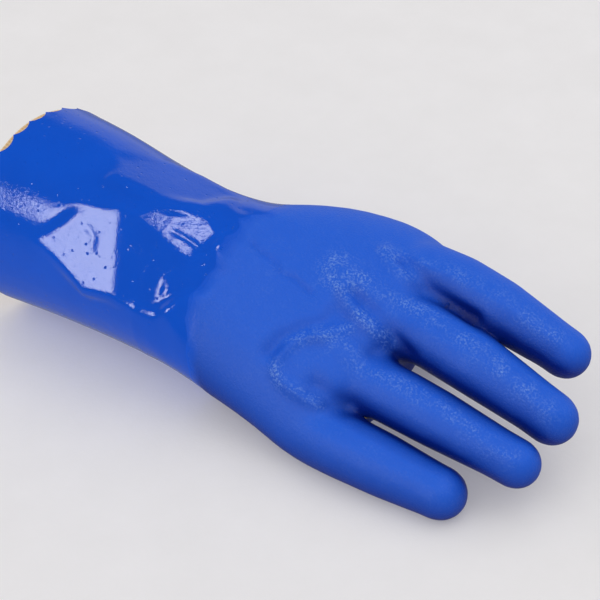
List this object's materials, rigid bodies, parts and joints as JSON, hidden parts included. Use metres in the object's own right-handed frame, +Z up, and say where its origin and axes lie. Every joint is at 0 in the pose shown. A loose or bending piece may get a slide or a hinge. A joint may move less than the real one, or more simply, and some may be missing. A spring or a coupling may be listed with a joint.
{
  "type": "pvc coated work glove",
  "caption": "Right-hand PVC dipped gauntlet glove lying palm down: sandy matte hand, smooth glossy cuff with a pinked edge, yellow knit lining.",
  "frame": {"origin": "on the floor, under the middle of the glove's box", "axes": "+X from the cuff's mouth to the fingertips, +Y to the thumb side, +Z up from the floor that it lies on"},
  "size_m": [0.271, 0.1176, 0.0936],
  "materials": {
    "hand_coat": "matte sandy PVC dip",
    "cuff_coat": "smooth glossy PVC dip",
    "knit_lining": "cotton jersey knit"
  },
  "bodies": {
    "root": {"hand_coat": "hand_coat", "cuff_coat": "cuff_coat", "knit_lining": "knit_lining"}
  },
  "joints": []
}
